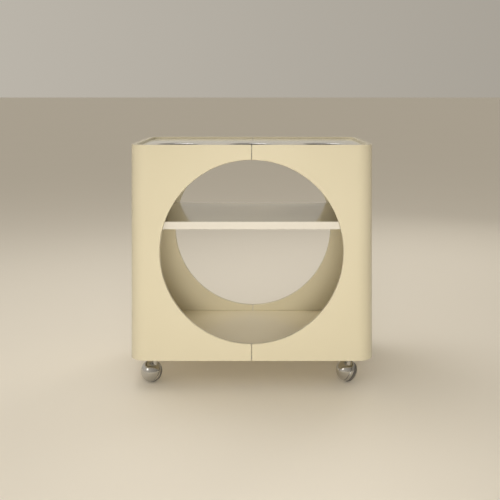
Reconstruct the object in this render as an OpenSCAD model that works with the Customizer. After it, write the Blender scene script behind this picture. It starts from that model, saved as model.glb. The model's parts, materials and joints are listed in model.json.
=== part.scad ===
// Serving trolley: two C-shaped half shells closed round a shelf, a floor and a
// top panel with three bottle wells, on four ball casters.
// Frame: +Z up, front towards -Y, origin on the ground under the middle of the body.

/* [Body] */
// Width of the body across the front
body_w = 612; // [560:1:760]
// Depth of the body, front to back
body_d = 400; // [330:1:520]
// Height of the shells, without the casters
body_h = 540; // [535:1:700]
// Thickness of the shell wall
wall = 12; // [10:0.5:14.5]
// Outside radius of the four upright corners
corner_r = 42; // [30:1:60]
// Rounding of the outer top and bottom edges
edge_r = 5; // [2:0.5:6]
// Rounding of the inner top and bottom edges
inner_edge_r = 3; // [1:0.5:3.5]
// Gap between the two shells at each seam
seam_gap = 1.2; // [0.2:0.1:2]
// Width of the groove along each seam
seam_groove = 2.4; // [0.8:0.1:3]

/* [Round openings] */
// Diameter of the front and rear openings
opening_d = 460; // [300:1:470]
// Height of their centre above the lower edge of the shells
opening_z = 272; // [262:1:280]
// Rounding of the edge of each opening
opening_edge_r = 2.5; // [1:0.5:4]

/* [Panels] */
// Thickness of the shelf
shelf_t = 19; // [15:1:25]
// Height of the top of the shelf above the lower edge of the shells
shelf_top = 346; // [240:1:420]
// Thickness of the edging on the shelf
edging_t = 1.5; // [0.8:0.1:3]
// Thickness of the floor panel
floor_t = 16; // [12:1:22]
// Height of the underside of the floor panel above the lower edge of the shells
floor_low = 9; // [8:0.5:12]
// Thickness of the top panel
top_t = 16; // [12:1:18]
// Depth of the top panel below the rim
top_recess = 5.5; // [3:0.5:7]
// Gap round the top panel
top_gap = 1.2; // [0.6:0.1:2]

/* [Bottle wells] */
// Inside diameter of a well
well_d = 104; // [84:1:112]
// Depth of a well below its flange
well_depth = 34; // [20:1:36]
// Width of the rolled flange
well_flange = 6; // [4:0.5:8]
// Depth of the seat in the top panel for the flange
flange_seat = 1.2; // [0.5:0.1:2.4]
// Space between the flange of an outer well and the side wall
well_margin = 44; // [10:1:60]
// Distance of the well centres behind the front face
well_inset = 106; // [90:1:140]

/* [Casters] */
// Height of a caster, ground to the lower edge of the shells
caster_h = 68; // [66:1:75]
// Diameter of the ball
ball_d = 55; // [50:1:56]
// Distance from the swivel axis to the centre of the ball
trail = 14; // [12:0.5:16]
// Slope of the axle below the horizontal
axle_slope = 28; // [20:1:32]
// Distance of the swivel axes from the side faces
caster_inset_x = 60; // [50:1:90]
// Distance of the swivel axes from the front and rear faces
caster_inset_y = 40; // [38:1:90]

/* [Hidden] */
$fn = 96;
eps = 1;
fit_gap = 0.3;
run_gap = 0.08;
head_gap = 0.5;
hole_spare = 0.5;

// Heights from the ground
z0 = caster_h;
z_rim = z0 + body_h;
z_opening = z0 + opening_z;
z_floor_under = z0 + floor_low;
z_shelf_under = z0 + shelf_top - shelf_t;
z_top = z_rim - top_recess;
z_flange = z_top - flange_seat;
z_top_under = z_top - top_t;

// The inside of the shells
in_w = body_w - 2 * wall;
in_d = body_d - 2 * wall;
in_r = corner_r - wall;
opening_r = opening_d / 2;

// Wells
well_r = well_d / 2;
well_t = 1.2;
well_y = -body_d / 2 + well_inset;
flange_r = well_r + well_flange + well_t;
well_pitch = in_w / 2 - well_margin - flange_r;

// Shelf pins: one row on each side
pin_r = 2.5;
pin_out = 8;
pin_in = 8;
sleeve_r = 4;
pin_inset = 64;

// Cleats and seam bars with their screws
cleat_w = 18;
cleat_h = 15;
cleat_clear = 0.6;
cleat_screw_inset = 30;
top_cleat_inset = 60;
floor_cleat_inset = 100;
top_cleat_l = body_d - 2 * top_cleat_inset;
floor_cleat_l = body_d - 2 * floor_cleat_inset;
floor_cleat_w = 14;
floor_cleat_h = floor_low - cleat_clear;
bar_l = 140;
top_bar_t = 6;
top_bar_h = 11.5;
low_bar_t = 8;
bar_screw_xs = [-52, -22, 22, 52];
z_upper_screw = z_top_under - top_bar_h / 2;
z_lower_screw = z_floor_under - floor_cleat_h / 2;
screw_r = 1.6;
screw_head_r = 3;
screw_head_h = 1.8;
screw_bite = 7.5;

// Caster
ball_r = ball_d / 2;
tread_proud = 0.5;
hood_r = ball_r - tread_proud;
hood_t = 2.4;
split_gap = 0.4;
neck_r = 6;
neck_low = 16;
neck_ring_r = 7.6;
neck_ring_h = 3;
stem_r = 5;
stem_head_r = 6.6;
stem_head_h = 1.6;
plate_w = 38;
plate_t = 2.5;
plate_corner_r = 5;
plate_boss_r = 9;
plate_boss_low = 6;
plate_boss_up = 5;
plate_screw = 13.5;
plate_screw_r = 1.9;
plate_screw_head_r = 3.4;
plate_screw_head_h = 2;
plate_screw_bite = 10;
pocket_spare = 4;
axle_r = 3;
axle_head_r = 4.6;
axle_head_h = 1.6;
hub_r = 8;
hub_recess = 4;
hub_out = hood_r - hub_recess;
rim_t = 3.2;
web_t = 5;
tread_in = 8;
tread_out = 18;
tread_depth = 3;
caster_x = body_w / 2 - caster_inset_x;
caster_y = body_d / 2 - caster_inset_y;
z_boss_low = z_floor_under - plate_t - plate_boss_low;
z_boss_top = z_floor_under + plate_boss_up;

// Name, side across, side front to back, and swivel angle of each caster
CASTERS = [
    ["front_left", -1, -1, 50],
    ["front_right", 1, -1, 12],
    ["rear_left", -1, 1, 150],
    ["rear_right", 1, 1, 215],
];
// Name and place across of each well
WELLS = [["left", -1], ["centre", 0], ["right", 1]];
// Name and sign of each side, and of each end
SIDES = [["left", -1], ["right", 1]];
ENDS = [["front", -1], ["rear", 1]];

CASTER_PIECES = ["plate", "screws", "hood", "axle", "wheel", "tread"];
SIDE_PIECES = [
    "shell", "shelf_sleeves", "shelf_pins", "top_cleat", "top_cleat_screws",
    "floor_cleat", "floor_cleat_screws",
];
END_PIECES = [
    "shelf_edging", "upper_seam_bar", "upper_seam_screws",
    "lower_seam_bar", "lower_seam_screws",
];

cream = [0.87, 0.82, 0.68];
white = [0.93, 0.90, 0.84];
chrome = [0.78, 0.79, 0.81];
steel = [0.60, 0.61, 0.63];
brass = [0.80, 0.66, 0.36];
beech = [0.72, 0.57, 0.38];
tread_grey = [0.42, 0.41, 0.40];

// ---- Outlines -----------------------------------------------------------

// A rectangle round the middle with round corners.
module round_rect(w, d, r) {
    square([w - 2 * r, d], center = true);
    square([w, d - 2 * r], center = true);
    for (x = [-1, 1], y = [-1, 1])
        translate([x * (w / 2 - r), y * (d / 2 - r)]) circle(r);
}

// Section of the shell wall: x runs from the inner face to the outer face.
module wall_section() {
    r_out = edge_r;
    r_in = inner_edge_r;
    translate([r_in, 0]) square([wall - r_in - r_out, body_h]);
    translate([0, r_in]) square([wall - r_out, body_h - 2 * r_in]);
    translate([r_in, r_out]) square([wall - r_in, body_h - 2 * r_out]);
    for (z = [r_in, body_h - r_in]) translate([r_in, z]) circle(r_in);
    for (z = [r_out, body_h - r_out]) translate([wall - r_out, z]) circle(r_out);
}

// ---- Shells -------------------------------------------------------------

// A straight stretch of wall along X, of length len, with its outer face at y = 0.
module straight_wall(len) {
    translate([0, wall, 0])
        rotate([90, 0, 90]) mirror([1, 0, 0])
            linear_extrude(len) wall_section();
}

// One quarter round of wall about the origin, from the X axis to the Y axis.
module corner_wall() {
    rotate_extrude(angle = 90)
        translate([corner_r - wall, 0]) wall_section();
}

// The right half of the ring of wall, before any holes.
module half_ring() {
    front_l = body_w / 2 - corner_r - seam_gap / 2;
    side_l = body_d - 2 * corner_r;
    translate([seam_gap / 2, -body_d / 2, 0]) straight_wall(front_l);
    mirror([0, 1, 0]) translate([seam_gap / 2, -body_d / 2, 0]) straight_wall(front_l);
    translate([body_w / 2, -side_l / 2, 0]) rotate([0, 0, 90]) straight_wall(side_l);
    for (m = [0, 1]) mirror([0, m, 0])
        translate([body_w / 2 - corner_r, body_d / 2 - corner_r, 0]) corner_wall();
}

// Cutter of the front opening, with its edges rounded on both faces of the wall.
module opening_cutter() {
    r = opening_edge_r;
    translate([0, -body_d / 2, z_opening]) rotate([-90, 0, 0])
        rotate_extrude($fn = 180)
            difference() {
                union() {
                    translate([0, -eps]) square([opening_r, wall + 2 * eps]);
                    for (y = [-eps, wall - r])
                        translate([0, y]) square([opening_r + r, r + eps]);
                }
                for (y = [r, wall - r]) translate([opening_r + r, y]) circle(r, $fn = 48);
            }
}

// Square bar that leaves a V groove along a seam.
module groove_cutter() {
    side = seam_groove / sqrt(2);
    for (y = [-body_d / 2, -body_d / 2 + wall])
        translate([0, y, z_rim - body_h / 2]) rotate([0, 0, 45])
            cube([side, side, body_h + 2 * eps], center = true);
}

// Both shells are one module: side is -1 for the left and 1 for the right.
module shell(side) {
    color(cream) difference() {
        mirror([side < 0 ? 1 : 0, 0, 0]) translate([0, 0, z0]) half_ring();
        for (m = [0, 1]) mirror([0, m, 0]) {
            opening_cutter();
            groove_cutter();
            bar_screw_holes(z_upper_screw, wall + fit_gap);
            bar_screw_holes(z_lower_screw, wall + fit_gap);
        }
        mirror([side < 0 ? 1 : 0, 0, 0]) {
            at_pins() cylinder(r = sleeve_r, h = pin_in + hole_spare);
            cleat_screw_holes(top_cleat_l, z_top_under - cleat_h / 2);
            cleat_screw_holes(floor_cleat_l, z_floor_under - floor_cleat_h / 2);
        }
    }
}

// ---- Panels -------------------------------------------------------------

module top_panel() {
    color(white) difference() {
        translate([0, 0, z_top_under]) linear_extrude(top_t)
            round_rect(in_w - 2 * top_gap, in_d - 2 * top_gap, in_r - top_gap);
        for (w = WELLS) translate([w[1] * well_pitch, well_y, 0]) {
            translate([0, 0, z_top_under - eps])
                cylinder(r = well_r + well_t + fit_gap, h = top_t + 2 * eps);
            translate([0, 0, z_flange]) cylinder(r = flange_r + fit_gap, h = flange_seat + eps);
        }
    }
}

// Spun cup with a rolled flange that lies in its seat. Its origin is the flange's underside.
module bottle_well(place) {
    round_r = 6;
    out_r = well_r + well_t;
    color(chrome) translate([place * well_pitch, well_y, z_flange]) rotate_extrude() {
        translate([0, -well_depth]) square([out_r - round_r, well_t]);
        translate([well_r, round_r - well_depth]) square([well_t, well_depth - round_r]);
        intersection() {
            difference() {
                translate([out_r - round_r, round_r - well_depth]) circle(round_r);
                translate([out_r - round_r, round_r - well_depth]) circle(round_r - well_t);
            }
            translate([out_r - round_r, -well_depth]) square(round_r);
        }
        translate([well_r, 0]) square([well_flange, well_t]);
        translate([well_r + well_flange, well_t]) circle(well_t);
    }
}

module shelf() {
    shelf_d = in_d - 2 * fit_gap;
    color(white) translate([0, 0, z_shelf_under]) linear_extrude(shelf_t) difference() {
        round_rect(in_w - 2 * fit_gap, shelf_d, in_r - fit_gap);
        for (e = ENDS) translate([0, e[1] * shelf_d / 2])
            square([in_w - 2 * in_r, 2 * edging_t], center = true);
    }
}

// Strip glued to the front or the rear edge of the shelf.
module shelf_edging(end) {
    edge_y = in_d / 2 - fit_gap - edging_t / 2;
    color(white) translate([0, end * edge_y, z_shelf_under + shelf_t / 2])
        cube([in_w - 2 * in_r, edging_t, shelf_t], center = true);
}

module floor_panel() {
    color(cream) difference() {
        translate([0, 0, z_floor_under]) linear_extrude(floor_t)
            round_rect(in_w - 2 * fit_gap, in_d - 2 * fit_gap, in_r - fit_gap);
        for (c = CASTERS) at_caster(c) translate([0, 0, z_floor_under - eps]) {
            cylinder(r = plate_boss_r, h = eps + plate_boss_up + pocket_spare);
            at_plate_screws() cylinder(r = plate_screw_r, h = eps + plate_screw_bite + hole_spare);
        }
    }
}

// ---- Shelf pins ---------------------------------------------------------

// Places children on the right side wall, pointing into it from its inner face.
module at_pins() {
    for (end = [-1, 0, 1])
        translate([in_w / 2, end * (body_d / 2 - pin_inset), z_shelf_under - pin_r])
            rotate([0, 90, 0]) children();
}

module shelf_sleeves(side) {
    color(brass) mirror([side < 0 ? 1 : 0, 0, 0]) at_pins() difference() {
        cylinder(r = sleeve_r, h = pin_in);
        translate([0, 0, -eps]) cylinder(r = pin_r, h = pin_in + 2 * eps);
    }
}

// Round pins; the shelf lies on their inner ends.
module shelf_pins(side) {
    color(chrome) mirror([side < 0 ? 1 : 0, 0, 0]) at_pins()
        translate([0, 0, -pin_out]) cylinder(r = pin_r, h = pin_out + pin_in);
}

// ---- Cleats and seam bars -----------------------------------------------

// Places children on the inner face of the right side wall, pointing into the wall.
module at_cleat_screws(len, z) {
    for (end = [-1, 0, 1])
        translate([in_w / 2, end * (len / 2 - cleat_screw_inset), z])
            rotate([0, 90, 0]) children();
}

module cleat_screw_holes(len, z) {
    at_cleat_screws(len, z) cylinder(r = screw_r, h = screw_bite + hole_spare);
}

// Wooden strip screwed to a side wall, under a panel.
module cleat(side, w, len, h, z_under) {
    color(beech) mirror([side < 0 ? 1 : 0, 0, 0]) difference() {
        translate([in_w / 2 - w, -len / 2, z_under]) cube([w, len, h]);
        at_cleat_screws(len, z_under + h / 2) translate([0, 0, -w - eps]) {
            cylinder(r = screw_head_r, h = eps + screw_head_h);
            cylinder(r = screw_r, h = w + 2 * eps);
        }
    }
}

module cleat_screws(side, w, len, z) {
    color(steel) mirror([side < 0 ? 1 : 0, 0, 0]) at_cleat_screws(len, z)
        translate([0, 0, -w]) {
            cylinder(r = screw_head_r, h = screw_head_h);
            cylinder(r = screw_r, h = w + screw_bite);
        }
}

module top_cleat(side) {
    cleat(side, cleat_w, top_cleat_l, cleat_h, z_top_under - cleat_h);
}

module top_cleat_screws(side) {
    cleat_screws(side, cleat_w, top_cleat_l, z_top_under - cleat_h / 2);
}

module floor_cleat(side) {
    cleat(side, floor_cleat_w, floor_cleat_l, floor_cleat_h, z_floor_under - floor_cleat_h);
}

module floor_cleat_screws(side) {
    cleat_screws(side, floor_cleat_w, floor_cleat_l, z_lower_screw);
}

// Places children at the screws of a front seam bar, pointing out of the body from y_start.
module at_bar_screws(z, y_start) {
    for (x = bar_screw_xs)
        translate([x, -body_d / 2 + y_start, z]) rotate([90, 0, 0]) children();
}

module bar_screw_holes(z, y_start) {
    at_bar_screws(z, y_start) cylinder(r = screw_r, h = screw_bite + fit_gap + hole_spare);
}

// Flat bar that joins the two shells behind a seam.
module seam_bar(end, t, h, z_under) {
    color(steel) mirror([0, end > 0 ? 1 : 0, 0]) difference() {
        translate([-bar_l / 2, wall - body_d / 2, z_under]) cube([bar_l, t, h]);
        at_bar_screws(z_under + h / 2, wall + t + eps) cylinder(r = screw_r, h = t + 2 * eps);
    }
}

module seam_screws(end, t, z) {
    color(steel) mirror([0, end > 0 ? 1 : 0, 0]) at_bar_screws(z, wall + t) {
        translate([0, 0, -screw_head_h]) cylinder(r = screw_head_r, h = screw_head_h);
        cylinder(r = screw_r, h = t + screw_bite);
    }
}

module upper_seam_bar(end) {
    seam_bar(end, top_bar_t, top_bar_h, z_top_under - top_bar_h);
}

module upper_seam_screws(end) {
    seam_screws(end, top_bar_t, z_upper_screw);
}

module lower_seam_bar(end) {
    seam_bar(end, low_bar_t, floor_cleat_h, z_floor_under - floor_cleat_h);
}

module lower_seam_screws(end) {
    seam_screws(end, low_bar_t, z_lower_screw);
}

// ---- Casters ------------------------------------------------------------

// Puts the caster's own frame, with its swivel axis on Z, at one corner.
module at_caster(c) {
    translate([c[1] * caster_x, c[2] * caster_y, 0]) rotate([0, 0, c[3]]) children();
}

// Puts the ball's own frame, with its axle on Z and its wheel half on the +Z side.
module at_ball(c) {
    at_caster(c) translate([0, trail, ball_r]) rotate([0, 90 + axle_slope, 0]) children();
}

module at_plate_screws() {
    for (x = [-1, 1], y = [-1, 1])
        translate([x * plate_screw, y * plate_screw, 0]) children();
}

// Mounting plate with the swivel bearing in its boss.
module caster_plate(c) {
    color(chrome) at_caster(c) translate([0, 0, z_floor_under]) difference() {
        union() {
            translate([0, 0, -plate_t]) linear_extrude(plate_t) round_rect(plate_w, plate_w, plate_corner_r);
            translate([0, 0, -plate_t - plate_boss_low])
                cylinder(r = plate_boss_r, h = plate_t + plate_boss_low + plate_boss_up);
        }
        translate([0, 0, -plate_t - plate_boss_low - eps])
            cylinder(r = stem_r + run_gap, h = plate_t + plate_boss_low + plate_boss_up + 2 * eps);
        at_plate_screws() translate([0, 0, -plate_t - eps])
            cylinder(r = plate_screw_r, h = plate_t + 2 * eps);
    }
}

module caster_screws(c) {
    color(steel) at_caster(c) translate([0, 0, z_floor_under - plate_t]) at_plate_screws() {
        translate([0, 0, -plate_screw_head_h])
            cylinder(r = plate_screw_head_r, h = plate_screw_head_h);
        cylinder(r = plate_screw_r, h = plate_t + plate_screw_bite);
    }
}

// Half ball of sheet with its neck, its swivel stem and the boss that holds the axle.
module caster_hood(c) {
    color(chrome) {
        at_ball(c) rotate_extrude() {
            intersection() {
                difference() {
                    circle(hood_r);
                    circle(hood_r - hood_t);
                }
                translate([0, -ball_r]) square([ball_r, ball_r - split_gap]);
            }
            intersection() {
                circle(hood_r - hood_t / 2);
                translate([axle_r, -ball_r]) square([hub_r - axle_r, ball_r - split_gap]);
            }
        }
        at_caster(c) {
            z_neck = ball_r + neck_low;
            neck_top = z_boss_low - 2 * fit_gap;
            stem_top = z_boss_top + 2 * fit_gap;
            translate([0, 0, z_neck]) cylinder(r = neck_r, h = neck_top - z_neck);
            translate([0, 0, neck_top - neck_ring_h]) cylinder(r = neck_ring_r, h = neck_ring_h);
            translate([0, 0, neck_top - eps]) cylinder(r = stem_r, h = stem_top - neck_top + eps);
            translate([0, 0, stem_top]) cylinder(r = stem_head_r, h = stem_head_h);
        }
    }
}

module caster_axle(c) {
    color(steel) at_ball(c) {
        axle_low = -hood_r + hood_t + fit_gap;
        translate([0, 0, axle_low]) cylinder(r = axle_r, h = hub_out + eps - axle_low);
        translate([0, 0, hub_out + head_gap]) cylinder(r = axle_head_r, h = axle_head_h);
    }
}

// Dished half ball that turns on the axle, with a groove for the tread.
module caster_wheel(c) {
    color(chrome) at_ball(c) rotate_extrude() difference() {
        intersection() {
            circle(hood_r);
            translate([axle_r + run_gap, split_gap]) square(ball_r);
        }
        intersection() {
            circle(hood_r - tread_depth - rim_t);
            translate([hub_r, 0]) square([ball_r, hub_out - web_t]);
        }
        difference() {
            translate([0, tread_in]) square([ball_r, tread_out - tread_in]);
            circle(hood_r - tread_depth);
        }
        translate([0, hub_out]) square([axle_head_r + 1, ball_r]);
    }
}

module caster_tread(c) {
    color(tread_grey) at_ball(c) rotate_extrude() intersection() {
        difference() {
            circle(ball_r);
            circle(hood_r - tread_depth);
        }
        translate([0, tread_in]) square([ball_r, tread_out - tread_in]);
    }
}

// ---- Nodes --------------------------------------------------------------

top_panel();
shelf();
floor_panel();

for (w = WELLS)
    bottle_well(w[1]);

for (s = SIDES) {
    shell(s[1]);
    shelf_sleeves(s[1]);
    shelf_pins(s[1]);
    top_cleat(s[1]);
    top_cleat_screws(s[1]);
    floor_cleat(s[1]);
    floor_cleat_screws(s[1]);
}

for (e = ENDS) {
    shelf_edging(e[1]);
    upper_seam_bar(e[1]);
    upper_seam_screws(e[1]);
    lower_seam_bar(e[1]);
    lower_seam_screws(e[1]);
}

for (c = CASTERS) {
    caster_plate(c);
    caster_screws(c);
    caster_hood(c);
    caster_axle(c);
    caster_wheel(c);
    caster_tread(c);
}
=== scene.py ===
"""Looks of a serving trolley: two lacquered half shells, a shelf, a top with wells, four ball casters.

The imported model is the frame. Every piece is modelled again with rounded edges and
smooth curves, on its CAD node's place, and rides on the body that the node moves with.
"""

import json
import logging
import math
from dataclasses import dataclass, field
from enum import Enum
from typing import Callable, Sequence, Union

import bmesh
import bpy
from mathutils import Matrix, Vector


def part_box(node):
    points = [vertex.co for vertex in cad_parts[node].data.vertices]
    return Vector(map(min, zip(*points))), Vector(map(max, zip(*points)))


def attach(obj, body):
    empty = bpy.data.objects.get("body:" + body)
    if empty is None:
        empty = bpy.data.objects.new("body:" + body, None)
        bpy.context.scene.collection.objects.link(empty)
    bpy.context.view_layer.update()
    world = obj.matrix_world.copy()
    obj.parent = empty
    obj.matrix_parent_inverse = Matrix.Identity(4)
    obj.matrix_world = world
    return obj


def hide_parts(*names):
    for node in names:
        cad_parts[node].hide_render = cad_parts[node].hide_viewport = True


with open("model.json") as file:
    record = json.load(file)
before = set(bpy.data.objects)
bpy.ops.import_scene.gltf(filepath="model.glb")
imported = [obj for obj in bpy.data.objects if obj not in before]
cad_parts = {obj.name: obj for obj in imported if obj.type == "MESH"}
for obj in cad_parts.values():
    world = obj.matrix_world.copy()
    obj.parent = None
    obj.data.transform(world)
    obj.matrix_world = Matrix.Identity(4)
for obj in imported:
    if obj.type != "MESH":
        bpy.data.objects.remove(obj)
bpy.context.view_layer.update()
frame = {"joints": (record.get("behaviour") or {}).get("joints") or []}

logging.basicConfig(level=logging.INFO, format="%(message)s")
LOG = logging.getLogger("trolley")

MM = 0.001
TOUCH = 0.001 * MM  # points this close are one
NEAR = 0.01 * MM  # slack of the tests that pick edges
DRILL_STEPS = 32  # points round a drilled hole
REACH = 20 * MM  # how far a cutter stands past a board
Triple = tuple[float, float, float]
Colour = Triple
Outline = list[tuple[float, float]]
Operand = Union["Signal", float]


# ---- Shader graphs --------------------------------------------------------


@dataclass
class Signal:
    """A value socket that takes part in Python arithmetic."""

    graph: "Graph"
    socket: bpy.types.NodeSocket

    def __add__(self, other: Operand) -> "Signal":
        """Sum."""
        return self.graph.maths("ADD", self, other)

    def __radd__(self, other: Operand) -> "Signal":
        """Sum, with the number first."""
        return self.graph.maths("ADD", other, self)

    def __sub__(self, other: Operand) -> "Signal":
        """Difference."""
        return self.graph.maths("SUBTRACT", self, other)

    def __rsub__(self, other: Operand) -> "Signal":
        """Difference, with the number first."""
        return self.graph.maths("SUBTRACT", other, self)

    def __mul__(self, other: Operand) -> "Signal":
        """Product."""
        return self.graph.maths("MULTIPLY", self, other)

    def __rmul__(self, other: Operand) -> "Signal":
        """Product, with the number first."""
        return self.graph.maths("MULTIPLY", other, self)

    def __pow__(self, other: Operand) -> "Signal":
        """Power."""
        return self.graph.maths("POWER", self, other)

    def clamped(self) -> "Signal":
        """The value held between 0 and 1."""
        return self.graph.maths("MAXIMUM", self.graph.maths("MINIMUM", self, 1.0), 0.0)

    def above(self, level: float, gain: float) -> "Signal":
        """0 up to a level, then rising by a gain, and held at 1."""
        return ((self - level) * gain).clamped()


class Graph:
    """One material's node tree, built by method calls."""

    def __init__(self, name: str) -> None:
        """Starts an empty material.

        Args:
            name: Name of the material.
        """
        self.material = bpy.data.materials.new(name)
        self.material.use_nodes = True
        self.tree = self.material.node_tree
        self.tree.nodes.clear()
        self.place = self.node("ShaderNodeTexCoord").outputs["Object"]

    def node(self, kind: str, settings: dict | None = None, **values: object) -> bpy.types.Node:
        """Adds a node.

        Args:
            kind: Blender's name of the node type.
            settings: Attributes of the node, set first.
            values: Numbers, colours, sockets or signals for its inputs, with _ for a space.

        Returns:
            The node.
        """
        made = self.tree.nodes.new(kind)
        for key, value in (settings or {}).items():
            setattr(made, key, value)
        for key, value in values.items():
            self.feed(made.inputs[key.replace("_", " ")], value)
        return made

    def feed(self, target: bpy.types.NodeSocket, value: object) -> None:
        """Links or sets one input.

        Args:
            target: The input socket.
            value: A signal, a socket, a number or a colour.
        """
        if isinstance(value, Signal):
            self.tree.links.new(value.socket, target)
        elif isinstance(value, bpy.types.NodeSocket):
            self.tree.links.new(value, target)
        elif isinstance(value, tuple) and len(value) == 3 and target.type == "RGBA":
            target.default_value = (*value, 1.0)
        else:
            target.default_value = value

    def maths(self, operation: str, *terms: Operand) -> Signal:
        """Adds a Math node.

        Args:
            operation: The node's operation.
            terms: Its inputs in order.

        Returns:
            Its result.
        """
        made = self.node("ShaderNodeMath", {"operation": operation})
        for target, term in zip(made.inputs, terms):
            self.feed(target, term)
        return Signal(self, made.outputs[0])

    def moved(self, scale: Triple, turn: Triple = (0.0, 0.0, 0.0)) -> bpy.types.NodeSocket:
        """Object coordinates scaled along each axis and turned by radians about each axis."""
        return self.node("ShaderNodeMapping", Vector=self.place, Rotation=turn, Scale=scale).outputs[0]

    def noise(self, scale: float, detail: float = 3.0, rough: float = 0.5, where: object = None) -> Signal:
        """Noise between about 0.2 and 0.8.

        Args:
            scale: Waves to the metre.
            detail: Octaves.
            rough: Weight of the finer octaves.
            where: Vector socket, or None for Object coordinates.

        Returns:
            The noise.
        """
        vector = self.place if where is None else where
        made = self.node("ShaderNodeTexNoise", Vector=vector, Scale=scale, Detail=detail, Roughness=rough)
        return Signal(self, made.outputs["Fac"])

    def blend(self, share: Operand, first: object, second: object) -> bpy.types.NodeSocket:
        """Mixes two colours.

        Args:
            share: Share of the second, 0 to 1.
            first: Colour or colour socket.
            second: Colour or colour socket.

        Returns:
            The colour socket.
        """
        made = self.tree.nodes.new("ShaderNodeMix")
        made.data_type = "RGBA"
        self.feed(made.inputs[0], share)
        self.feed(made.inputs[6], first)
        self.feed(made.inputs[7], second)
        return made.outputs[2]

    def bump(self, height: Signal, depth: float, strength: float) -> bpy.types.NodeSocket:
        """Turns a height from 0 to 1 into a normal, for relief of a depth in metres."""
        return self.node("ShaderNodeBump", Height=height, Distance=depth, Strength=strength).outputs[0]

    def off_middle(self) -> Signal:
        """Distance from the plane X = 0, in metres."""
        split = self.node("ShaderNodeSeparateXYZ", Vector=self.place)
        return self.maths("ABSOLUTE", Signal(self, split.outputs["X"]))

    def finish(self, **values: object) -> bpy.types.Material:
        """Closes the material with a Principled shader.

        Args:
            values: Inputs of the shader, with _ for a space.

        Returns:
            The material.
        """
        shader = self.node("ShaderNodeBsdfPrincipled", **values)
        output = self.node("ShaderNodeOutputMaterial")
        self.tree.links.new(shader.outputs[0], output.inputs["Surface"])
        return self.material


# ---- Finishes -------------------------------------------------------------


def shade(colour: Colour, share: float) -> Colour:
    """A colour of which a share of the light is left."""
    return tuple(share * part for part in colour)


@dataclass(frozen=True)
class Lacquer:
    """Sprayed lacquer with a fine orange peel, slow drifts of colour and, near X = 0, painted shade along the
    seam.
    """

    name: str
    colour: Colour
    aged: Colour
    rough: float = 0.36
    coat: float = 0.25
    peel: float = 0.03 * MM
    # joint is the half-width of a band of painted shade about X = 0, along the seam between the halves; 0
    # leaves it out.
    joint: float = 0.0
    joint_fade: float = 0.25 * MM
    drift_share: float = 0.55
    speck_share: float = 0.10
    grime_share: float = 0.85
    handled_share: float = 0.14

    def material(self) -> bpy.types.Material:
        """Builds the material."""
        g = Graph(self.name)
        drift = g.noise(3.1, detail=2.0).above(0.38, gain=2.6)
        specks = g.noise(900.0, detail=2.0, rough=0.6).above(0.66, gain=9.0)
        base = g.blend(drift * self.drift_share, self.colour, self.aged)
        base = g.blend(specks * self.speck_share, base, shade(self.aged, 0.6))
        # Painted shade: the colour darkens towards X = 0, where the seam groove between the two halves lies.
        if self.joint:
            seam_shade = ((self.joint - g.off_middle()) * (1 / self.joint_fade)).clamped()
            base = g.blend(seam_shade * self.grime_share, base, shade(self.aged, 0.22))
        handled = g.noise(9.0, detail=1.0)
        peel = g.noise(620.0, detail=2.0, rough=0.45) + g.noise(210.0, detail=1.0) * 0.6
        return g.finish(
            Base_Color=base,
            Roughness=self.rough + (handled - 0.5) * self.handled_share,
            Coat_Weight=self.coat,
            Coat_Roughness=0.12,
            Normal=g.bump(peel, self.peel, 0.5),
        )


@dataclass(frozen=True)
class Laminate:
    """Glossy plastic laminate with faint wiping marks."""

    name: str
    colour: Colour
    rough: float
    wipe_share: float = 0.18
    texture: float = 0.012 * MM

    def material(self) -> bpy.types.Material:
        """Builds the material."""
        g = Graph(self.name)
        drift = g.noise(4.0, detail=2.0)
        wiped = g.noise(16.0, detail=4.0, rough=0.6, where=g.moved((1.0, 5.0, 1.0), (0.0, 0.0, 0.5)))
        fine = g.noise(420.0, detail=2.0)
        return g.finish(
            Base_Color=g.blend(drift * 0.5, self.colour, shade(self.colour, 0.94)),
            Roughness=self.rough + wiped.above(0.45, gain=1.0) * self.wipe_share,
            Coat_Weight=0.5,
            Coat_Roughness=0.04,
            Normal=g.bump(fine, self.texture, 0.4),
        )


@dataclass(frozen=True)
class Metal:
    """Plated or turned metal with fine marks and a slight haze."""

    name: str
    colour: Colour
    rough: float
    haze: float
    marks: float = 0.004 * MM
    grain: Triple = (1.0, 1.0, 1.0)

    def material(self) -> bpy.types.Material:
        """Builds the material."""
        g = Graph(self.name)
        dull = g.noise(70.0, detail=4.0, rough=0.6).above(0.42, gain=3.0)
        lines = g.noise(900.0, detail=3.0, rough=0.7, where=g.moved(self.grain))
        return g.finish(
            Base_Color=g.blend(dull * 0.4, self.colour, shade(self.colour, 0.82)),
            Metallic=1.0,
            Roughness=self.rough + dull * self.haze,
            Normal=g.bump(lines, self.marks, 0.5),
        )


@dataclass(frozen=True)
class Timber:
    """Planed wood with its grain along one axis."""

    name: str
    light: Colour
    dark: Colour
    grain: Triple = (60.0, 3.0, 60.0)
    pore_depth: float = 0.1 * MM

    def material(self) -> bpy.types.Material:
        """Builds the material."""
        g = Graph(self.name)
        along = g.moved(self.grain)
        figure = g.noise(1.6, detail=5.0, rough=0.6, where=along)
        pores = g.noise(9.0, detail=3.0, rough=0.7, where=along)
        base = g.blend(figure.above(0.35, gain=2.4), self.light, self.dark)
        base = g.blend(pores.above(0.62, gain=5.0) * 0.5, base, shade(self.dark, 0.5))
        normal = g.bump(pores, self.pore_depth, 0.4)
        return g.finish(Base_Color=base, Roughness=0.55 + figure * 0.2, Normal=normal)


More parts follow.
